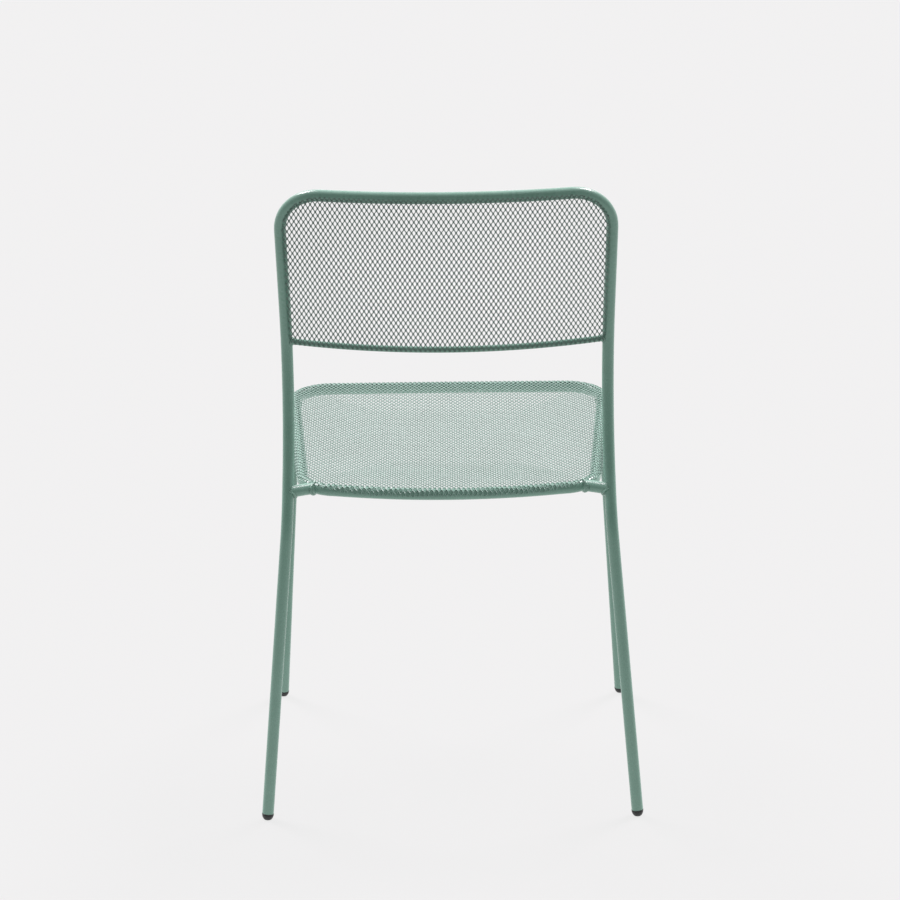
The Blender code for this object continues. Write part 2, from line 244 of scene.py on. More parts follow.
@dataclass
class ChairLines:
    """The centrelines that every piece is placed by, as the tube was bent."""

    tube: float = 0.0075
    rod: float = 0.004
    rear_foot: Vector = field(default_factory=lambda: Vector((0.2385, 0.2228, 0.0)))
    knee: Vector = field(default_factory=lambda: Vector((0.2048, 0.2044, 0.3975)))
    lumbar: Vector = field(default_factory=lambda: Vector((0.2003, 0.1434, 0.5508)))
    top_corner: Vector = field(default_factory=lambda: Vector((0.2070, 0.2138, 0.8235)))
    knee_bend: float = 0.165
    lumbar_bend: float = 0.370
    corner_bend: float = 0.050
    bow: float = 0.0232
    crown: float = 0.0028
    rail_height: float = 0.6233
    rail_dip: float = 0.0021
    ring_rear: Vector = field(default_factory=lambda: Vector((0.1847, 0.1722, 0.4308)))
    ring_front: Vector = field(default_factory=lambda: Vector((0.2108, -0.2185, 0.4497)))
    ring_rear_bend: float = 0.049
    ring_front_bend: float = 0.050
    ring_rear_bow: float = 0.0294
    ring_front_bow: float = 0.0024
    link_landing: Vector = field(default_factory=lambda: Vector((0.1704, 0.1720, 0.4308)))
    leg_top_y: float = -0.1635
    front_foot: Vector = field(default_factory=lambda: Vector((0.2356, -0.2395, 0.0)))
    cap_height: float = 0.0085
    arc_steps: int = 12
    rail_steps: int = 26
    side_steps: int = 10
    rail_tail: float = 0.004

    def back_axes(self) -> tuple[Vector, Vector]:
        """Directions up the backrest's slope and square to it, away from the sitter.

        Returns:
            The two directions.
        """
        slope = self.top_corner - self.lumbar
        up = Vector((0, slope.y, slope.z)).normalized()
        return up, Vector((0, up.z, -up.y))

    def hoop(self) -> list[Vector]:
        """The back hoop, from the left foot over the top to the right foot.

        Returns:
            The centreline's points.
        """
        up, rearward = self.back_axes()
        leg = (self.knee - self.rear_foot).normalized()
        half = [self.rear_foot + leg * self.cap_height]
        half += bend(self.rear_foot, self.knee, self.lumbar, self.knee_bend, self.arc_steps)
        half += bend(self.knee, self.lumbar, self.top_corner, self.lumbar_bend, self.arc_steps)
        middle = Vector((0, self.top_corner.y, self.top_corner.z))
        top = bend(self.lumbar, self.top_corner, middle, self.corner_bend, self.arc_steps)
        span = top[0].x
        end = top[-1].copy()
        top += [end.lerp(middle, step / self.rail_steps) for step in range(1, self.rail_steps + 1)]
        for point in top:
            rise = 1 - (point.x / span) ** 2
            point += rearward * (self.bow * rise) + up * (self.crown * rise)
        half += top
        return half + [Side.RIGHT.of(point) for point in reversed(half[:-1])]

    def upright_at(self, height: float) -> Vector:
        """The centre of the left upright at a height above the lumbar bend."""
        share = (height - self.lumbar.z) / (self.top_corner.z - self.lumbar.z)
        return self.lumbar.lerp(self.top_corner, share)

    def lower_rail(self) -> list[Vector]:
        """The lower back rail, from the left upright to the right one.

        Returns:
            The centreline's points.
        """
        up, rearward = self.back_axes()
        end = self.upright_at(self.rail_height)
        line = []
        for step in range(-self.rail_steps, self.rail_steps + 1):
            share = step / self.rail_steps
            rise = 1 - share * share
            offset = rearward * (self.bow * rise + self.tube - self.rod)
            offset -= up * (self.rail_dip * rise)
            line.append(Vector((-end.x * share, end.y, end.z)) + offset)
        return line

    def ring(self) -> list[Vector]:
        """The seat ring, all the way round from the middle of its rear.

        Returns:
            The centreline's points, without the first one repeated at the end.
        """
        rear = []
        front = []
        for step in range(self.rail_steps):
            share = step / self.rail_steps
            rise = 1 - share * share
            place = self.ring_rear.copy()
            rear.append(Vector((place.x * share, place.y + self.ring_rear_bow * rise, place.z)))
            place = self.ring_front.copy()
            front.append(Vector((place.x * share, place.y - self.ring_front_bow * rise, place.z)))
        first = bend(rear[-1], self.ring_rear, self.ring_front, self.ring_rear_bend, self.arc_steps)
        last = bend(
            self.ring_rear, self.ring_front, front[-1], self.ring_front_bend, self.arc_steps
        )
        rear = [point for point in rear if point.x < first[0].x - self.rail_tail]
        front = [point for point in front if point.x < last[-1].x - self.rail_tail]
        side = [
            first[-1].lerp(last[0], step / self.side_steps) for step in range(1, self.side_steps)
        ]
        half = rear + first + side + last + list(reversed(front))
        line = half + [Side.RIGHT.of(point) for point in reversed(half[1:-1])]
        slope = (self.ring_front.z - self.ring_rear.z) / (self.ring_front.y - self.ring_rear.y)
        for point in line:
            point.z = self.ring_rear.z + slope * (point.y - self.ring_rear.y)
        return line

    def link(self) -> tuple[Vector, Vector]:
        """Where the left seat link meets the ring's rear corner and the upright.

        Returns:
            The end in the corner, and the end in the upright.
        """
        share = (self.ring_rear.z - self.knee.z) / (self.lumbar.z - self.knee.z)
        upright = self.knee.lerp(self.lumbar, share)
        corner = min(self.ring(), key=lambda point: (point - self.link_landing).length)
        return corner, upright

    def front_leg(self) -> tuple[Vector, Vector]:
        """The left front leg's centreline: its foot on the floor, and its top in the ring."""
        share = (self.leg_top_y - self.ring_rear.y) / (self.ring_front.y - self.ring_rear.y)
        return self.front_foot, self.ring_rear.lerp(self.ring_front, share)


# ---------------------------------------------------------------- finishes

Colour = tuple[float, float, float, float]

NUMBER, COLOUR, PLACE = "NodeSocketFloat", "NodeSocketColor", "NodeSocketVector"
WHITE = (1.0, 1.0, 1.0, 1.0)


@dataclass
class Wiring:
    """One tree of shader nodes, whose nodes are joined as they are added."""

    tree: bpy.types.NodeTree

    def feed(self, node: bpy.types.Node, sockets: dict[str | int, object]) -> bpy.types.Node:
        """Gives a node's inputs their values, or the outputs that feed them.

        Args:
            node: The node.
            sockets: A value or an output for each input, by the input's name or number.

        Returns:
            The same node.
        """
        for key, value in sockets.items():
            if isinstance(value, bpy.types.NodeSocket):
                self.tree.links.new(value, node.inputs[key])
            else:
                node.inputs[key].default_value = value
        return node

    def add(self, kind: str, sockets: dict[str | int, object] | None = None) -> bpy.types.Node:
        """Adds a node of a kind and feeds its inputs."""
        return self.feed(self.tree.nodes.new(f"ShaderNode{kind}"), sockets or {})

    def place(self) -> bpy.types.NodeSocket:
        """The place on the piece, from its own coordinates."""
        return self.add("TexCoord").outputs["Object"]

    def maths(self, operation: str, first: object, second: object) -> bpy.types.NodeSocket:
        """Works out a number from two others.

        Args:
            operation: What is done, in the node's own word.
            first: The first number, or the output that gives it.
            second: The second number, or the output that gives it.

        Returns:
            The output that gives the answer.
        """
        node = self.add("Math", {0: first, 1: second})
        node.operation = operation
        return node.outputs[0]

    def noise(
        self, place: object, per_metre: object, detail: float = 2.0, roughness: float = 0.5
    ) -> bpy.types.NodeSocket:
        """Noise of a given fineness, read at a place."""
        sockets = {"Vector": place, "Scale": per_metre, "Detail": detail, "Roughness": roughness}
        return self.add("TexNoise", sockets).outputs["Fac"]

    def spread(
        self, value: object, start: float, end: float, low: float = 0.0, high: float = 1.0
    ) -> bpy.types.NodeSocket:
        """Stretches the range from start to end of a value to run from low to high."""
        sockets = {"From Min": start, "From Max": end, "To Min": low, "To Max": high}
        return self.add("MapRange", {"Value": value, **sockets}).outputs["Result"]

    def blend(self, share: object, first: object, second: object) -> bpy.types.NodeSocket:
        """Mixes two numbers.

        Args:
            share: How much of the second there is.
            first: The first number, or the output that gives it.
            second: The second number, or the output that gives it.

        Returns:
            The output that gives the mix.
        """
        node = self.add("Mix")
        node.data_type = "FLOAT"
        return self.feed(node, {0: share, 2: first, 3: second}).outputs[0]

    def mix(self, share: object, first: object, second: object) -> bpy.types.NodeSocket:
        """Mixes two colours.

        Args:
            share: How much of the second there is.
            first: The first colour, or the output that gives it.
            second: The second colour, or the output that gives it.

        Returns:
            The output that gives the mix.
        """
        node = self.add("Mix")
        node.data_type = "RGBA"
        return self.feed(node, {0: share, 6: first, 7: second}).outputs[2]

    def group(self, tree: bpy.types.NodeTree, **values: object) -> bpy.types.NodeOutputs:
        """Places a shared group, fed by its inputs' names with underscores for spaces.

        Args:
            tree: The shared group.
            **values: What feeds its inputs, with underscores for the spaces in their names.

        Returns:
            The group's outputs.
        """
        node = self.add("Group")
        node.node_tree = tree
        self.feed(node, {key.replace("_", " "): value for key, value in values.items()})
        return node.outputs

    def skin(
        self, peel: bpy.types.NodeOutputs, roughness: float, strength: float, height: float
    ) -> dict[str, bpy.types.NodeSocket]:
        """The shader's gloss and surface, as the orange peel shapes them.

        Args:
            peel: The orange peel group's outputs.
            roughness: The finish's mean roughness.
            strength: How strongly the dimples tilt the surface.
            height: The dimples' height.

        Returns:
            What feeds the shader, by the names of its inputs.
        """
        bump = {"Height": peel["Height"], "Strength": strength, "Distance": height}
        return {
            "Roughness": self.maths("ADD", peel["Gloss change"], roughness),
            "Normal": self.add("Bump", bump).outputs["Normal"],
        }


def open_material(name: str) -> tuple[bpy.types.Material, Wiring, bpy.types.Node]:
    """Makes a plain material.

    Args:
        name: The material's name.

    Returns:
        The material, its wiring and its shader.
    """
    material = bpy.data.materials.new(name)
    material.use_nodes = True
    return material, Wiring(material.node_tree), material.node_tree.nodes["Principled BSDF"]


class Groups:
    """Shader node groups that several finishes share, each built once."""

    @staticmethod
    def start(
        name: str, inputs: Sequence[tuple[str, str, object]], outputs: Sequence[tuple[str, str]]
    ) -> tuple[Wiring, bpy.types.NodeOutputs, bpy.types.Node]:
        """Makes an empty group with its sockets.

        Args:
            name: The group's name.
            inputs: Name, socket type and default of each input.
            outputs: Name and socket type of each output.

        Returns:
            The group's wiring, what its inputs give, and the node that takes its outputs.
        """
        tree = bpy.data.node_groups.new(name, "ShaderNodeTree")
        for label, kind, default in inputs:
            socket = tree.interface.new_socket(name=label, in_out="INPUT", socket_type=kind)
            if default is not None:
                socket.default_value = default
        for label, kind in outputs:
            tree.interface.new_socket(name=label, in_out="OUTPUT", socket_type=kind)
        given = tree.nodes.new("NodeGroupInput").outputs
        return Wiring(tree), given, tree.nodes.new("NodeGroupOutput")

    @staticmethod
    @cache
    def orange_peel() -> bpy.types.NodeTree:
        """The fine dimpled skin of baked powder paint, as a height and a gloss change.

        Returns:
            The group.
        """
        wires, given, out = Groups.start(
            "orange_peel",
            [("Vector", PLACE, None), ("Dimples per metre", NUMBER, 900.0),
             ("Ripple per metre", NUMBER, 130.0)],
            [("Height", NUMBER), ("Gloss change", NUMBER)],
        )
        fine = wires.noise(given["Vector"], given["Dimples per metre"])
        coarse = wires.noise(given["Vector"], given["Ripple per metre"], detail=1.0)
        gloss = wires.spread(coarse, start=0.35, end=0.65, low=-0.05, high=0.05)
        ripple_share = 0.4
        height = wires.blend(ripple_share, fine, coarse)
        wires.feed(out, {"Height": height, "Gloss change": gloss})
        return wires.tree

    @staticmethod
    @cache
    def tone_drift() -> bpy.types.NodeTree:
        """Slow drift between two tones of a colour, with sparse pale dust specks.

        Returns:
            The group.
        """
        wires, given, out = Groups.start(
            "tone_drift",
            [("Vector", PLACE, None), ("Dark", COLOUR, None), ("Light", COLOUR, None),
             ("Speck", COLOUR, None), ("Drift per metre", NUMBER, 14.0),
             ("Specks per metre", NUMBER, 420.0), ("Speck amount", NUMBER, 0.25)],
            [("Color", COLOUR)],
        )
        place = given["Vector"]
        drift = wires.noise(place, given["Drift per metre"], detail=3.0, roughness=0.55)
        tone = wires.mix(wires.spread(drift, start=0.3, end=0.7), given["Dark"], given["Light"])
        dots = wires.noise(place, given["Specks per metre"], detail=1.0)
        sparse = wires.spread(dots, start=0.68, end=0.78)
        amount = wires.maths("MULTIPLY", sparse, given["Speck amount"])
        wires.feed(out, {"Color": wires.mix(amount, tone, given["Speck"])})
        return wires.tree

    @staticmethod
    @cache
    def edge_rub() -> bpy.types.NodeTree:
        """A mask of raised edges, broken up by noise, where paint wears thin.

        Returns:
            The group.
        """
        wires, given, out = Groups.start(
            "edge_rub",
            [("Vector", PLACE, None), ("Patches per metre", NUMBER, 160.0),
             ("Amount", NUMBER, 0.4)],
            [("Mask", NUMBER)],
        )
        shape = wires.add("NewGeometry").outputs
        crest = wires.spread(shape["Pointiness"], start=0.52, end=0.62)
        patches = wires.noise(given["Vector"], given["Patches per metre"])
        broken = wires.maths("MULTIPLY", crest, patches)
        wires.feed(out, {"Mask": wires.maths("MULTIPLY", broken, given["Amount"])})
        return wires.tree


@dataclass(frozen=True)
class PowderPaint:
    """Satin powder paint in a soft green, as it lies on one kind of stock, or darkened to paint in
    shade.
    """

    name: str
    dark: Colour
    light: Colour
    worn: Colour = (0.300, 0.430, 0.370, 1.0)
    speck: Colour = (0.340, 0.430, 0.380, 1.0)
    roughness: float = 0.28
    dimple_strength: float = 0.6
    dimple_height: float = 0.00006
    rub: float = 0.45
    coat: float = 0.10
    coat_roughness: float = 0.22
    refraction: float = 1.5

    def build(self) -> bpy.types.Material:
        """Makes the paint's material.

        Returns:
            The material.
        """
        material, wires, shader = open_material(self.name)
        place = wires.place()
        tone = wires.group(
            Groups.tone_drift(), Vector=place, Dark=self.dark, Light=self.light, Speck=self.speck
        )
        peel = wires.group(Groups.orange_peel(), Vector=place)
        rub = wires.group(Groups.edge_rub(), Vector=place, Amount=self.rub)
        wires.feed(shader, {
            "Base Color": wires.mix(rub["Mask"], tone["Color"], self.worn),
            "Metallic": 0.0,
            "IOR": self.refraction,
            "Coat Weight": self.coat,
            "Coat Roughness": self.coat_roughness,
            **wires.skin(peel, self.roughness, self.dimple_strength, self.dimple_height),
        })
        return material


@dataclass(frozen=True)
class MouldedPlastic:
    """Black moulded plastic with a fine spark-eroded grain, scuffed towards the floor."""

    name: str = "foot_plastic"
    dark: Colour = (0.006, 0.006, 0.007, 1.0)
    light: Colour = (0.012, 0.012, 0.013, 1.0)
    dust: Colour = (0.050, 0.048, 0.044, 1.0)
    scuff: float = 0.35
    scuff_top: float = 0.0020
    roughness: float = 0.46
    grain_strength: float = 0.7
    grain_height: float = 0.00008

    def build(self) -> bpy.types.Material:
        """Makes the plastic's material.

        Returns:
            The material.
        """
        material, wires, shader = open_material(self.name)
        place = wires.place()
        tone = wires.group(
            Groups.tone_drift(), Vector=place, Dark=self.dark, Light=self.light, Speck=self.dust,
            Drift_per_metre=180.0, Specks_per_metre=1500.0, Speck_amount=0.5,
        )
        peel = wires.group(
            Groups.orange_peel(), Vector=place, Dimples_per_metre=2600.0, Ripple_per_metre=500.0
        )
        height = wires.add("SeparateXYZ", {0: place}).outputs["Z"]
        low = wires.spread(height, start=0.0, end=self.scuff_top, low=self.scuff, high=0.0)
        wires.feed(shader, {
            "Base Color": wires.mix(low, tone["Color"], self.dust),
            **wires.skin(peel, self.roughness, self.grain_strength, self.grain_height),
        })
        return material


TUBE_PAINT = PowderPaint("tube_paint", (0.146, 0.285, 0.222, 1.0), (0.168, 0.318, 0.252, 1.0))
MESH_PAINT = PowderPaint(
    "mesh_paint", (0.160, 0.278, 0.230, 1.0), (0.190, 0.318, 0.268, 1.0),
    roughness=0.48, rub=0.2, coat=0.0,
)
# The back panel's paint is the mesh paint at about half the brightness: painted shade, standing in
# for the strands looking dark against the pale background.
SHADED_BACK_PAINT = PowderPaint(
    "back_mesh_shaded_paint", (0.078, 0.130, 0.109, 1.0), (0.098, 0.158, 0.134, 1.0),
    roughness=0.46, rub=0.2, coat=0.0,
)
WELD_PAINT = PowderPaint(
    "weld_paint", (0.138, 0.270, 0.210, 1.0), (0.164, 0.310, 0.246, 1.0), roughness=0.30, rub=0.7
)


@dataclass
class Finishes:
    """The chair's materials, made once and shared by its pieces."""

    tube: bpy.types.Material
    mesh: bpy.types.Material
    # back is the darkened copy of the mesh paint: painted shade for the back panel.
    back: bpy.types.Material
    weld: bpy.types.Material
    foot: bpy.types.Material

    @classmethod
    def mix(cls) -> Finishes:
        """Makes every finish."""
        return cls(
            TUBE_PAINT.build(), MESH_PAINT.build(), SHADED_BACK_PAINT.build(), WELD_PAINT.build(),
            MouldedPlastic().build(),
        )


def settle(
    piece: bpy.types.Object, material: bpy.types.Material, slot: str, *nodes: str
) -> bpy.types.Object:
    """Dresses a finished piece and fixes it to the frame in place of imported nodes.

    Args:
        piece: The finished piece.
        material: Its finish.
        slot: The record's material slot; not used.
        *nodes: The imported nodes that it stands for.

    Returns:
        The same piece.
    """
    piece.data.materials.clear()
    piece.data.materials.append(material)
    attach(piece, BODY)
    if nodes:
        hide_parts(*nodes)
    log.info("%s: %d faces", piece.name, len(piece.data.polygons))
    return piece


# ---------------------------------------------------------------- tubes


@dataclass
class RoundStock:
    """Round bar or tube of one radius, drawn along a centreline."""

    radius: float
    sides: int = 32
    straight: float = 0.00001
    smooth_below: float = 40.0

    def draw(self, name: str, line: Sequence[Vector], closed: bool = False) -> bpy.types.Object:
        """Draws the stock along a line: a circle is extruded and turned at each station.

        Args:
            name: The piece's name.
            line: The centreline's points.
            closed: Whether the end joins the start.

        Returns:
            The new piece.
        """
        count = len(line)

        def heading(index: int) -> Vector:
            """The way that the line runs at one of its points.

            Args:
                index: Which point.

            Returns:
                The direction.
            """
            if closed:
                return (line[(index + 1) % count] - line[index - 1]).normalized()
            return (line[min(index + 1, count - 1)] - line[max(index - 1, 0)]).normalized()

        Bench.clear()
        turn = Vector((0, 0, 1)).rotation_difference(heading(0)).to_euler()
        bpy.ops.mesh.primitive_circle_add(
            vertices=self.sides, radius=self.radius, fill_type="NOTHING", location=line[0],
            rotation=turn,
        )
        piece = Bench.name_piece(name)
        Bench.edit("EDGE")
        for index in range(1, count):
            before, after = heading(index - 1), heading(index)
            step = line[index] - line[index - 1]
            angle = before.angle(after)
            if angle > self.straight:
                axis = before.cross(after).normalized()
                bpy.ops.mesh.spin(steps=1, angle=-angle, center=line[index - 1], axis=axis)
                bpy.ops.transform.translate(value=step)
            else:
                bpy.ops.mesh.extrude_region_move(TRANSFORM_OT_translate={"value": step})
        Bench.pick(piece, "EDGE", lambda edge: edge.is_boundary)
        if closed:
            bpy.ops.mesh.bridge_edge_loops()
        else:
            bpy.ops.mesh.fill_holes(sides=0)
        Bench.close()
        Bench.smooth(piece, self.smooth_below)
        return piece


@dataclass
class TubeFrame:
    """The bent and straight tubes of the frame, and the rod between the uprights."""

    lines: ChairLines
    finishes: Finishes
    straight_steps: int = 6

    def build(self) -> None:
        """Makes and dresses every tube."""
        lines = self.lines
        tube = RoundStock(lines.tube)
        self.dress(tube.draw("back_hoop_tube", lines.hoop()), "back_hoop")
        self.dress(tube.draw("seat_ring_tube", lines.ring(), closed=True), "seat_ring")
        rod = RoundStock(lines.rod, sides=20)
        self.dress(rod.draw("lower_rail_rod", lines.lower_rail()), "lower_back_rail")
        for side in Side:
            corner, upright = (side.of(end) for end in lines.link())
            name = f"seat_link_tube_{side.label}"
            self.dress(tube.draw(name, self.run(corner, upright)), f"seat_link_{side.label}")
            foot, top = (side.of(end) for end in lines.front_leg())
            start = foot + (top - foot).normalized() * lines.cap_height
            name = f"front_leg_tube_{side.label}"
            self.dress(tube.draw(name, self.run(start, top)), f"front_leg_{side.label}")

    def run(self, start: Vector, end: Vector) -> list[Vector]:
        """A straight centreline, divided so that its paint and shading have something to hold."""
        steps = self.straight_steps
        return [start.lerp(end, step / steps) for step in range(steps + 1)]

    def dress(self, piece: bpy.types.Object, node: str) -> None:
        """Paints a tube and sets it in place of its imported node."""
        settle(piece, self.finishes.tube, "frame_paint", node)


# ---------------------------------------------------------------- welds


@dataclass
class WeldBead:
    """A bead of weld round a branch where it lands on another tube, rippled and painted over."""

    main_radius: float
    branch_radius: float
    bead: float = 0.0019
    ripple: float = 0.00022
    ripples: int = 26
    around: int = 78
    across: int = 10
    smooth_below: float = 60.0

    def lay(self, name: str, foot: Vector, toward: Vector, main: Vector) -> bpy.types.Object:
        """Lays the bead.

        Args:
            name: The piece's name.
            foot: Where the branch's centreline meets the main tube's.
            toward: A place further up the branch.
            main: The way that the main tube runs.

        Returns:
            The new bead.
        """
        Bench.clear()
        bpy.ops.mesh.primitive_torus_add(
            major_segments=self.around, minor_segments=self.across,
            major_radius=self.branch_radius, minor_radius=self.bead,
        )
        piece = Bench.name_piece(name)
        flat = Bench.points(piece)
        axis = (toward - foot).normalized()
        cross = axis.cross(main).normalized()
        run = cross.cross(axis).normalized()
        angle = np.arctan2(flat[:, 1], flat[:, 0])
        reach = np.hypot(flat[:, 0], flat[:, 1]) - self.branch_radius
        rise = flat[:, 2]
        pulse = 1 + self.ripple / self.bead * np.cos(angle * self.ripples)
        reach, rise = reach * pulse, rise * pulse
        radius = self.branch_radius + reach
        lean = abs(axis.dot(main.normalized()))
        square = math.sqrt(1 - lean * lean)
        aside = self.branch_radius * np.sin(angle)
        height = np.sqrt(np.maximum(self.main_radius**2 - aside**2, 0.0)) / square
        slope = axis.dot(main.normalized()) / square
        along = height - self.branch_radius * np.cos(angle) * slope + rise
        places = (
            np.array(foot)[None, :]
            + along[:, None] * np.array(axis)[None, :]
            + (radius * np.cos(angle))[:, None] * np.array(run)[None, :]
            + (radius * np.sin(angle))[:, None] * np.array(cross)[None, :]
        )
        Bench.move_points(piece, places)
        Bench.edit()
        Bench.close()
        Bench.smooth(piece, self.smooth_below)
        return piece


@dataclass
class Welds:
    """Every weld on the frame."""

    lines: ChairLines
    finishes: Finishes

    def build(self) -> None:
        """Lays and dresses every bead."""
        lines = self.lines
        tube_bead = WeldBead(lines.tube, lines.tube)
        rod_bead = WeldBead(lines.tube, lines.rod, bead=0.0015, ripples=16, around=54)
        ring = lines.ring()
        for side in Side:
            corner, upright = (side.of(end) for end in lines.link())
            run = self.heading_at([side.of(point) for point in ring], corner)
            name = f"weld_link_ring_{side.label}"
            self.dress(tube_bead.lay(name + "_bead", corner, upright, run), name)
            rise = side.of(lines.lumbar) - side.of(lines.knee)
            name = f"weld_link_upright_{side.label}"
            self.dress(tube_bead.lay(name + "_bead", upright, corner, rise), name)
            foot, top = (side.of(end) for end in lines.front_leg())
            run = side.of(lines.ring_front) - side.of(lines.ring_rear)
            name = f"weld_leg_ring_{side.label}"
            self.dress(tube_bead.lay(name + "_bead", top, foot, run), name)
            rail = lines.lower_rail()
            end, inner = (rail[0], rail[2]) if side is Side.LEFT else (rail[-1], rail[-3])
            rise = side.of(lines.top_corner) - side.of(lines.lumbar)
            name = f"weld_rail_{side.label}"
            self.dress(rod_bead.lay(name + "_bead", end, inner, rise), name)

    def heading_at(self, line: Sequence[Vector], place: Vector) -> Vector:
        """The way that a closed line runs where it passes a place."""
        index = min(range(len(line)), key=lambda spot: (line[spot] - place).length)
        return (line[(index + 1) % len(line)] - line[index - 1]).normalized()

    def dress(self, piece: bpy.types.Object, node: str) -> None:
        """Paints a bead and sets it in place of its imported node."""
        settle(piece, self.finishes.weld, "weld_paint", node)


# ---------------------------------------------------------------- feet


@dataclass
class FootPlug:
    """A moulded plug: a stem in the tube, a lip against its end, and a cap on the floor."""

    cap_height: float
    bore: float = 0.0060
    stem: float = 0.012
    cap_radius: float = 0.0077
    sides: int = 40
    lead_in: float = 0.0008
    waist: float = 0.0002
    lip: float = 0.0014
    groove: float = 0.00035
    floor_spare: float = 0.0006
    smooth_below: float = 35.0

    def profile(self) -> list[tuple[float, float]]:
        """Radius and height of each ring, from the stem's top down, with 0 at the tube's end.

        Returns:
            The rings.
        """
        cap, low = self.cap_radius, -self.cap_height - self.floor_spare
        stem = [
            (self.bore - self.lead_in, self.stem),
            (self.bore, self.stem - 0.0010),
            (self.bore - self.waist, self.stem * 0.5),
            (self.bore, 0.0012),
            (self.bore, 0.0),
        ]
        lip = [
            (cap - 0.0003, 0.0),
            (cap, -0.0003),
            (cap, -self.lip),
            (cap - self.groove, -0.0016),
            (cap - self.groove, -0.0019),
        ]
        taper = [(cap - 0.0001, -0.0021), (cap - 0.0007, -0.0048)]
        rises = ((0.0018, 0.0023), (0.0026, 0.0012), (0.0036, 0.0004), (0.0046, 0.0))
        return stem + lip + taper + [(cap - inward, low + rise) for inward, rise in rises]

    def mould(self, name: str, foot: Vector, toward: Vector) -> bpy.types.Object:
        """Turns the plug ring by ring, fills its ends and cuts it level with the floor.

        Args:
            name: The piece's name.
            foot: The leg's centreline on the floor.
            toward: A place further up the leg.

        Returns:
            The new plug.
        """
        rings = self.profile()
        up = (toward - foot).normalized()
        Bench.clear()
        bpy.ops.mesh.primitive_circle_add(
            vertices=self.sides, radius=rings[0][0], fill_type="NGON",
            location=(0, 0, rings[0][1]),
        )
        piece = Bench.name_piece(name)
        Bench.edit("FACE")
        for (wide, high), (next_wide, next_high) in zip(rings, rings[1:]):
            bpy.ops.mesh.extrude_region_move(
                TRANSFORM_OT_translate={"value": (0, 0, next_high - high)}
            )
            share = next_wide / wide
            bpy.ops.transform.resize(value=(share, share, 1), center_override=(0, 0, next_high))
        bpy.ops.object.mode_set(mode="OBJECT")
        place = Matrix.Translation(foot + up * self.cap_height)
        place = place @ Vector((0, 0, 1)).rotation_difference(up).to_matrix().to_4x4()
        piece.data.transform(place)
        Bench.edit()
        bpy.ops.mesh.bisect(
            plane_co=(0, 0, FLOOR_LEVEL), plane_no=(0, 0, -1), use_fill=True,
            clear_outer=True, threshold=CUT_SNAP,
        )
        Bench.close()
        Bench.smooth(piece, self.smooth_below)
        return piece


@dataclass
class Feet:
    """The four foot plugs."""

    lines: ChairLines
    finishes: Finishes

    def build(self) -> None:
        """Moulds and dresses every plug."""
        plug = FootPlug(self.lines.cap_height)
        front_foot, front_top = self.lines.front_leg()
        for side in Side:
            for row, foot, toward in (
                ("rear", self.lines.rear_foot, self.lines.knee),
                ("front", front_foot, front_top),
            ):
                node = f"foot_plug_{row}_{side.label}"
                piece = plug.mould(f"foot_cap_{row}_{side.label}", side.of(foot), side.of(toward))
                settle(piece, self.finishes.foot, "foot_plastic", node)


# ---------------------------------------------------------------- expanded metal


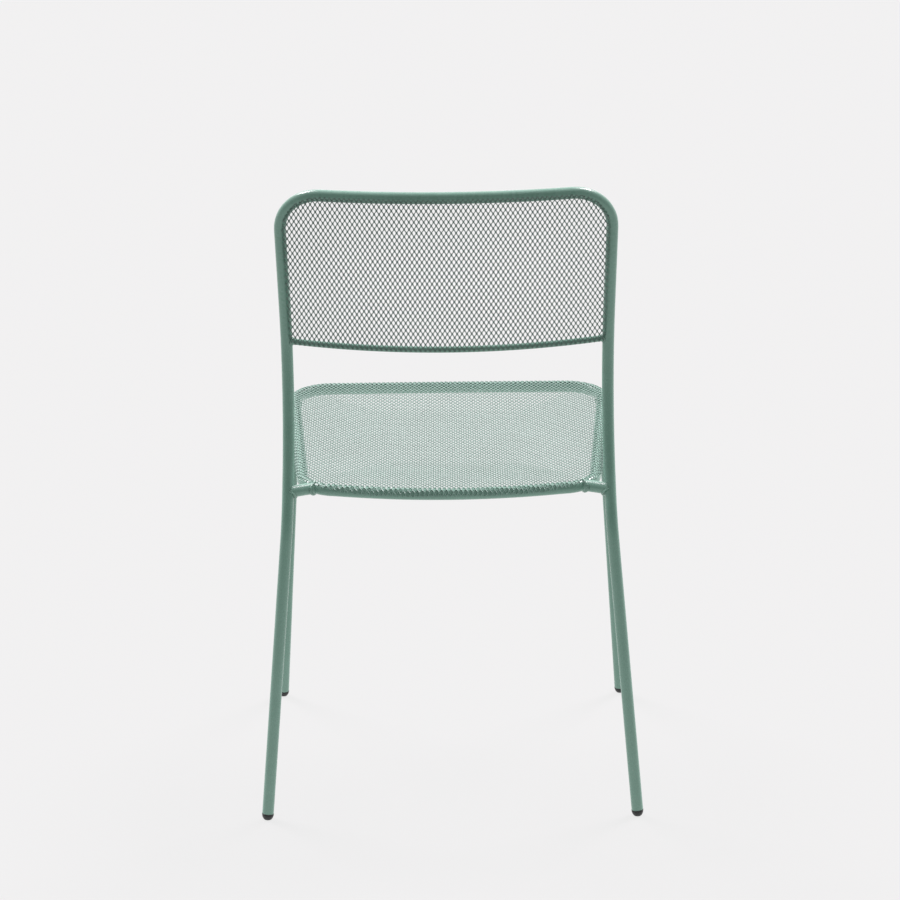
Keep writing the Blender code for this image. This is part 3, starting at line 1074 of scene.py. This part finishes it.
@dataclass
class ExpandedMetal:
    """Expanded steel: slit sheet, stretched until the slits open into diamonds.

    The flat stock lies in XY, with the diamonds' long way along Y and its thickness
    along Z. Each knuckle is a short tilted bar, and two strands leave each of its ends.
    """

    short_way: float = 0.0061
    long_way: float = 0.00995
    strand: float = 0.00122
    gauge: float = 0.0007
    knuckle: float = 0.0024
    tilt: float = math.radians(30)
    smooth_below: float = 20.0

    def knuckle_cell(self, name: str) -> bpy.types.Object:
        """Models one knuckle with the two strands that leave its far end.

        Args:
            name: The piece's name.

        Returns:
            The cell, open where its neighbours join it.
        """
        Bench.clear()
        bpy.ops.mesh.primitive_cube_add(
            size=1, scale=(2 * self.strand, self.knuckle, self.gauge)
        )
        cell = Bench.name_piece(name)
        Bench.edit()
        bpy.ops.mesh.bisect(plane_co=(0, 0, 0), plane_no=(1, 0, 0))
        bpy.ops.mesh.select_all(action="SELECT")
        bpy.ops.transform.rotate(value=self.tilt, orient_axis="Y", center_override=(0, 0, 0))
        far = self.knuckle / 2
        shape = bmesh.from_edit_mesh(cell.data)
        right_up = max(shape.verts, key=lambda vert: vert.co.x).co.z > 0
        across = self.short_way / 2 - self.strand * math.cos(self.tilt)
        ahead = self.long_way / 2 - self.knuckle
        drop = self.strand * math.sin(self.tilt) * (1 if right_up else -1)
        for hand in (1, -1):
            Bench.pick(
                cell, "FACE",
                lambda face: abs(face.calc_center_median().y - far) < MERGE
                and face.calc_center_median().x * hand > MERGE,
            )
            bpy.ops.mesh.extrude_region_move(
                TRANSFORM_OT_translate={"value": (across * hand, ahead, -drop * hand)}
            )
            bpy.ops.mesh.delete(type="ONLY_FACE")
        Bench.pick(cell, "FACE", lambda face: abs(face.calc_center_median().y + far) < MERGE)
        bpy.ops.mesh.delete(type="ONLY_FACE")
        bpy.ops.object.mode_set(mode="OBJECT")
        return cell

    def stock(
        self, name: str, low: tuple[float, float], high: tuple[float, float]
    ) -> bpy.types.Object:
        """Repeats the knuckle into a flat panel that covers a rectangle.

        Args:
            name: The panel's name.
            low: The rectangle's lowest corner.
            high: The rectangle's highest corner.

        Returns:
            The flat panel, with open strands at its edges.
        """
        panel = self.knuckle_cell(name)
        columns = math.ceil((high[0] - low[0]) / self.short_way) + 2
        rows = math.ceil((high[1] - low[1]) / self.long_way) + 2
        steps = (
            (2, (self.short_way / 2, self.long_way / 2, 0)),
            (columns, (self.short_way, 0, 0)),
            (rows, (0, self.long_way, 0)),
        )
        for count, offset in steps:
            Bench.apply(
                panel, "ARRAY", count=count, use_relative_offset=False,
                use_constant_offset=True, constant_offset_displace=offset,
            )
        centre = ((low[0] + high[0]) / 2, (low[1] + high[1]) / 2)
        places = Bench.points(panel)
        places[:, 0] += centre[0] - columns * self.short_way / 2
        places[:, 1] += centre[1] - rows * self.long_way / 2
        Bench.move_points(panel, places)
        Bench.edit()
        bpy.ops.mesh.remove_doubles(threshold=MERGE)
        bpy.ops.object.mode_set(mode="OBJECT")
        return panel

    def shear(self, panel: bpy.types.Object, outline: Iterable[tuple[float, float]]) -> None:
        """Shears a flat panel to a convex outline and closes the cut ends.

        Args:
            panel: The flat panel.
            outline: The outline's corners, anticlockwise.
        """
        corners = [
            Vector((round(x, OUTLINE_DIGITS), round(y, OUTLINE_DIGITS), 0)) for x, y in outline
        ]
        Bench.clear()
        bpy.context.view_layer.objects.active = panel
        panel.select_set(True)
        Bench.edit()
        for start, end in zip(corners, corners[1:] + corners[:1]):
            way = (end - start).normalized()
            bpy.ops.mesh.select_all(action="SELECT")
            bpy.ops.mesh.bisect(
                plane_co=start, plane_no=(way.y, -way.x, 0), clear_outer=True,
                threshold=CUT_SNAP,
            )
        Bench.merge()
        Bench.pick(panel, "EDGE", lambda edge: edge.is_boundary)
        bpy.ops.mesh.fill_holes(sides=0)
        if Bench.pick(panel, "EDGE", lambda edge: edge.is_boundary):
            bpy.ops.mesh.fill()
        Bench.face_out()


@dataclass
class BackMesh:
    """The curved back panel, welded on the rear of the hoop's top half and the lower rail."""

    lines: ChairLines
    finishes: Finishes
    metal: ExpandedMetal = field(default_factory=ExpandedMetal)
    side_overlap: float = 0.0040
    top_overlap: float = 0.0015
    low_overlap: float = 0.0014
    seat: float = 0.0002
    tuck: float = 0.0003
    tuck_width: float = 0.009
    corner_ease: float = 0.004
    corner_steps: int = 5
    table_reach: float = 0.24
    table_steps: int = 400

    def build(self) -> None:
        """Makes and dresses the panel."""
        lines = self.lines
        up, _ = lines.back_axes()
        lower = lines.upright_at(lines.rail_height)
        full = (lines.top_corner.z - lower.z) / up.z
        narrow = lower.x - self.side_overlap
        wide = lines.top_corner.x - self.side_overlap
        stretch = self.unrolled(np.array([wide]))[0] / wide
        radius = lines.corner_bend - lines.tube + self.top_overlap + self.corner_ease
        top = full + self.top_overlap
        outline = [(-narrow * stretch, -self.low_overlap), (narrow * stretch, -self.low_overlap)]
        for step in range(self.corner_steps + 1):
            turn = math.pi / 2 * step / self.corner_steps
            outline.append((
                (wide - radius + radius * math.cos(turn)) * stretch,
                top - radius + radius * math.sin(turn),
            ))
        outline += [(-x, y) for x, y in reversed(outline[2:])]
        half = wide * stretch
        panel = self.metal.stock("back_mesh", (-half, -self.low_overlap), (half, top))
        self.metal.shear(panel, outline)
        Bench.move_points(panel, self.shape(Bench.points(panel), full))
        Bench.edit()
        Bench.face_out()
        Bench.smooth(panel, self.metal.smooth_below)
        # The back panel takes the darkened copy of the mesh paint, as painted shade.
        settle(panel, self.finishes.back, "mesh_paint", "back_mesh_panel")

    def unrolled(self, across: np.ndarray) -> np.ndarray:
        """Lengths along the bowed sheet, for distances straight across from its middle.

        Args:
            across: The distances straight across.

        Returns:
            The lengths along the sheet.
        """
        curve = 2 * self.lines.bow / self.lines.top_corner.x**2
        slope = curve * across
        return across / 2 * np.sqrt(1 + slope**2) + np.arcsinh(slope) / (2 * curve)

    def shape(self, flat: np.ndarray, full: float) -> np.ndarray:
        """Bends the flat panel onto the back.

        Args:
            flat: The flat panel's points.
            full: The sloping height from the lower rail to the top corners.

        Returns:
            The points, bent.
        """
        lines = self.lines
        up, rearward = (np.array(way) for way in lines.back_axes())
        table = np.linspace(0, self.table_reach, self.table_steps)
        x = np.sign(flat[:, 0]) * np.interp(np.abs(flat[:, 0]), self.unrolled(table), table)
        share = x / lines.top_corner.x
        rise = 1 - share**2
        tangent = -2 * lines.bow * share / lines.top_corner.x
        tall = np.clip(flat[:, 1] / full, 0, 1)
        climb = flat[:, 1] + (lines.crown * tall - lines.rail_dip * (1 - tall)) * rise
        lower = lines.upright_at(lines.rail_height)
        edge = lower.x + (lines.top_corner.x - lower.x) * tall - self.side_overlap
        near = np.clip(1 - (edge - np.abs(x)) / self.tuck_width, 0, 1)
        depth = lines.bow * rise + lines.tube + self.seat - self.tuck * near**2
        normal = rearward[None, :] - tangent[:, None] * np.array([1.0, 0, 0])[None, :]
        normal /= np.linalg.norm(normal, axis=1)[:, None]
        base = np.array([0.0, lower.y, lower.z])
        places = base[None, :] + x[:, None] * np.array([1.0, 0, 0])[None, :]
        places = places + climb[:, None] * up[None, :] + depth[:, None] * rearward[None, :]
        return places + flat[:, 2][:, None] * normal


@dataclass
class SeatMesh:
    """The seat panel: slightly dished inside the ring, and wrapped down over its tube."""

    lines: ChairLines
    finishes: Finishes
    metal: ExpandedMetal = field(default_factory=ExpandedMetal)
    seat: float = 0.0003
    sag: float = 0.0055
    sag_reach: float = 0.120
    wrap_rear: float = math.radians(97)
    wrap_side: float = math.radians(82)
    wrap_front: float = math.radians(95)
    wrap_corner: float = math.radians(48)
    corner_span: float = 0.030
    outline_gap: float = 0.022
    dense: int = 1600
    heading_span: int = 3
    block: int = 4000

    def build(self) -> None:
        """Makes and dresses the panel."""
        line, outward = self.ring_flat()
        reach = self.lines.tube + self.seat
        outline = self.outline(line, outward, reach)
        low, high = outline.min(axis=0), outline.max(axis=0)
        panel = self.metal.stock("seat_mesh", tuple(low), tuple(high))
        self.metal.shear(panel, [tuple(corner) for corner in outline])
        Bench.move_points(panel, self.shape(Bench.points(panel), line, outward, reach))
        Bench.edit()
        Bench.face_out()
        Bench.smooth(panel, self.metal.smooth_below)
        settle(panel, self.finishes.mesh, "mesh_paint", "seat_mesh_panel")

    def axes(self) -> tuple[np.ndarray, np.ndarray, np.ndarray]:
        """The seat plane's origin, its way from the front to the rear, and its normal.

        Returns:
            The origin and the two directions.
        """
        rear, front = self.lines.ring_rear, self.lines.ring_front
        origin = np.array([0.0, rear.y, rear.z])
        way = np.array([0.0, rear.y - front.y, rear.z - front.z])
        way /= np.linalg.norm(way)
        return origin, way, np.array([0.0, -way[2], way[1]])

    def ring_flat(self) -> tuple[np.ndarray, np.ndarray]:
        """The ring's centreline in the seat plane, finely divided, and its outward normals.

        Returns:
            The points and their normals, one row each.
        """
        origin, way, _ = self.axes()
        ring = np.array([list(point) for point in self.lines.ring()])
        flat = np.stack([ring[:, 0], (ring - origin) @ way], axis=1)
        flat = np.vstack([flat, flat[:1]])
        run = np.r_[0, np.cumsum(np.linalg.norm(np.diff(flat, axis=0), axis=1))]
        spots = np.linspace(0, run[-1], self.dense, endpoint=False)
        line = np.stack([np.interp(spots, run, flat[:, k]) for k in range(2)], axis=1)
        heading = np.roll(line, -self.heading_span, axis=0)
        heading = heading - np.roll(line, self.heading_span, axis=0)
        heading /= np.linalg.norm(heading, axis=1)[:, None]
        outward = np.stack([heading[:, 1], -heading[:, 0]], axis=1)
        flip = np.sign(((line - line.mean(axis=0)) * outward).sum(axis=1).mean())
        return line, outward * flip

    def outline(self, line: np.ndarray, outward: np.ndarray, reach: float) -> np.ndarray:
        """The flat panel's outline: the ring's line, and what wraps down over the tube.

        Args:
            line: The ring's centreline in the seat plane.
            outward: Its outward normals.
            reach: The wrapped sheet's distance from the centreline.

        Returns:
            The outline's corners, anticlockwise and convex.
        """
        origin, way, _ = self.axes()
        corner = np.array(self.lines.link()[0])
        landing = np.array([corner[0], (corner - origin) @ way])
        near = np.linalg.norm(np.abs(line * [1, 0]) + line * [0, 1] - landing, axis=1)
        rearness = np.clip(outward[:, 1], 0, 1) ** 2
        frontness = np.clip(-outward[:, 1], 0, 1) ** 2
        wrap = self.wrap_side * (1 - rearness - frontness)
        wrap = wrap + self.wrap_rear * rearness + self.wrap_front * frontness
        ease = np.clip(near / (2 * self.corner_span), 0, 1)
        ease = ease * ease * (3 - 2 * ease)
        wrap = self.wrap_corner + (wrap - self.wrap_corner) * ease
        edge = line + outward * (wrap * reach)[:, None]
        return convex_outline(edge, spacing=self.outline_gap)

    def shape(
        self, flat: np.ndarray, line: np.ndarray, outward: np.ndarray, reach: float
    ) -> np.ndarray:
        """Lays the flat panel on the ring and wraps its rim down over the tube.

        Args:
            flat: The flat panel's points.
            line: The ring's centreline in the seat plane.
            outward: Its outward normals.
            reach: The wrapped sheet's distance from the centreline.

        Returns:
            The points, in place.
        """
        origin, way, normal = self.axes()
        across = np.array([1.0, 0.0, 0.0])
        nearest = np.empty(len(flat), np.int64)
        for start in range(0, len(flat), self.block):
            rows = slice(start, start + self.block)
            offsets = flat[rows, None, :2] - line[None, :, :]
            nearest[rows] = (offsets**2).sum(axis=2).argmin(axis=1)
        gap = flat[:, :2] - line[nearest]
        out = (gap * outward[nearest]).sum(axis=1)
        foot = flat[:, :2] - out[:, None] * outward[nearest]
        turn = np.clip(out, 0, None) / reach
        inside = np.clip(-out, 0, None)
        level = inside / self.sag_reach
        dip = self.sag * np.where(level < 1, level * level * (3 - 2 * np.clip(level, 0, 1)), 1.0)
        push = outward[nearest]
        side = push[:, 0][:, None] * across[None, :] + push[:, 1][:, None] * way[None, :]
        face = side * np.sin(turn)[:, None] + normal[None, :] * np.cos(turn)[:, None]
        plan = np.where(out[:, None] > 0, foot, flat[:, :2])
        places = origin[None, :] + plan[:, 0][:, None] * across + plan[:, 1][:, None] * way
        places = places + face * (reach + flat[:, 2])[:, None]
        return places - dip[:, None] * normal[None, :]


def convex_outline(points: np.ndarray, spacing: float) -> np.ndarray:
    """The convex outline of a cloud of flat points, anticlockwise and evenly thinned.

    Args:
        points: The points, one row each.
        spacing: The least distance kept between neighbouring corners.

    Returns:
        The outline's corners.
    """
    order = points[np.lexsort((points[:, 1], points[:, 0]))]

    def half(rows: np.ndarray) -> list[np.ndarray]:
        """One side of the outline.

        Args:
            rows: The points, in order along the side.

        Returns:
            The points that bulge out.
        """
        chain: list[np.ndarray] = []
        for row in rows:
            while len(chain) > 1:
                first, second = chain[-1] - chain[-2], row - chain[-1]
                if first[0] * second[1] - first[1] * second[0] > 0:
                    break
                chain.pop()
            chain.append(row)
        return chain

    ring = half(order)[:-1] + half(order[::-1])[:-1]
    kept = [ring[0]]
    for corner in ring[1:]:
        before = kept[-1]
        if np.linalg.norm(corner - before) >= spacing:
            kept.append(corner)
    return np.array(kept)


# ---------------------------------------------------------------- the studio


@dataclass
class Studio:
    """A plain pale floor, soft light from above and all round, and the camera."""

    camera_place: tuple[float, float, float] = (-0.0061, 5.0066, 1.9256)
    heading: float = 180.0526
    pitch: float = -16.663
    roll: float = -0.6369
    lens: float = 159.444
    sensor: float = 36.0
    view_depth: float = 200.0
    floor_half: float = 40.0
    floor_glow: float = 0.790
    paper_dark: Colour = (0.040, 0.040, 0.040, 1.0)
    paper_light: Colour = (0.042, 0.042, 0.042, 1.0)
    paper_grain: float = 600.0
    bounce_near: float = 0.95
    bounce_far: float = 0.25
    bounce_start: float = 0.5
    bounce_end: float = 2.8
    sky_low: float = 0.22
    sky_side: float = 0.35
    sky_far: float = 1.3
    sky_top: float = 0.30
    lamp_energy: float = 3.25
    lamp_tint: tuple[float, float, float] = (1.0, 0.88, 0.94)
    lamp_height: float = 50.0
    lamp_spread: float = 42.0
    lamp_softness: float = 22.0

    def build(self) -> None:
        """Sets up the camera, floor and light."""
        self.set_camera()
        self.lay_floor()
        self.hang_lights()

    def set_camera(self) -> None:
        """Stands the camera behind the chair, looking slightly down on it."""
        lens = bpy.data.cameras.new("camera")
        lens.lens = self.lens
        lens.sensor_width = self.sensor
        lens.clip_end = self.view_depth
        camera = bpy.data.objects.new("camera", lens)
        bpy.context.scene.collection.objects.link(camera)
        turn = Matrix.Rotation(math.radians(self.heading), 4, "Z")
        turn = turn @ Matrix.Rotation(math.radians(90 + self.pitch), 4, "X")
        turn = turn @ Matrix.Rotation(math.radians(self.roll), 4, "Z")
        camera.matrix_world = Matrix.Translation(self.camera_place) @ turn
        bpy.context.scene.camera = camera

    def lay_floor(self) -> None:
        """Lays a wide floor of pale paper."""
        Bench.clear()
        bpy.ops.mesh.primitive_plane_add(size=2 * self.floor_half)
        floor = Bench.name_piece("studio_floor")
        Bench.edit("FACE")
        bpy.ops.mesh.subdivide(number_cuts=3)
        bpy.ops.object.mode_set(mode="OBJECT")
        floor.data.materials.append(self.paper())

    def paper(self) -> bpy.types.Material:
        """Makes paper that looks evenly lit, but sends the chair less light from the +Y side.

        Returns:
            The material.
        """
        material, wires, shader = open_material("studio_paper")
        place = wires.place()
        grain = wires.noise(place, self.paper_grain)
        bounce = wires.spread(
            wires.add("SeparateXYZ", {0: place}).outputs["Y"],
            start=self.bounce_start, end=self.bounce_end,
            low=self.bounce_near, high=self.bounce_far,
        )
        seen = wires.add("LightPath").outputs["Is Camera Ray"]
        wires.feed(shader, {
            "Base Color": wires.mix(grain, self.paper_dark, self.paper_light),
            "Roughness": 1.0,
            "Specular IOR Level": 0.0,
            "Emission Color": WHITE,
            "Emission Strength": wires.blend(seen, bounce, self.floor_glow),
        })
        return material

    def hang_lights(self) -> None:
        """Lights the chair softly all round, and more strongly from its front."""
        scene = bpy.context.scene
        scene.view_settings.view_transform = "Standard"
        scene.world = self.sky()
        height, spread = math.radians(self.lamp_height), math.radians(self.lamp_spread)
        for side in Side:
            lamp = bpy.data.lights.new(f"softbox_{side.label}", "SUN")
            lamp.energy = self.lamp_energy
            lamp.color = self.lamp_tint
            lamp.angle = math.radians(self.lamp_softness)
            toward_lamp = Vector((
                side.value * math.sin(spread) * math.cos(height),
                -math.cos(spread) * math.cos(height),
                math.sin(height),
            ))
            softbox = bpy.data.objects.new(lamp.name, lamp)
            softbox.rotation_euler = toward_lamp.to_track_quat("Z", "Y").to_euler()
            scene.collection.objects.link(softbox)

    def sky(self) -> bpy.types.World:
        """Makes a white sky that is brighter at the sides, above, and most of all at -Y.

        Returns:
            The world.
        """
        world = bpy.data.worlds.new("studio_sky")
        world.use_nodes = True
        wires = Wiring(world.node_tree)
        place = wires.add("TexCoord").outputs["Generated"]
        toward = wires.add("SeparateXYZ", {0: place}).outputs
        glow: object = self.sky_low
        for axis, kept, sign, power, share in (
            ("X", "ABSOLUTE", 1.0, 2.0, self.sky_side),
            ("Y", "MAXIMUM", -1.0, 1.0, self.sky_far),
            ("Z", "MAXIMUM", 1.0, 2.0, self.sky_top),
        ):
            facing = wires.maths(kept, wires.maths("MULTIPLY", toward[axis], sign), 0.0)
            part = wires.maths("MULTIPLY", wires.maths("POWER", facing, power), share)
            glow = wires.maths("ADD", glow, part)
        wires.feed(world.node_tree.nodes["Background"], {"Color": WHITE, "Strength": glow})
        return world


def main() -> None:
    """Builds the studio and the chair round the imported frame."""
    logging.basicConfig(level=logging.INFO, format="%(message)s")
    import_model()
    Studio().build()
    lines = ChairLines()
    finishes = Finishes.mix()
    for assembly in (TubeFrame, Welds, Feet, BackMesh, SeatMesh):
        assembly(lines, finishes).build()
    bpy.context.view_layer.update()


if __name__ == "__main__":
    main()
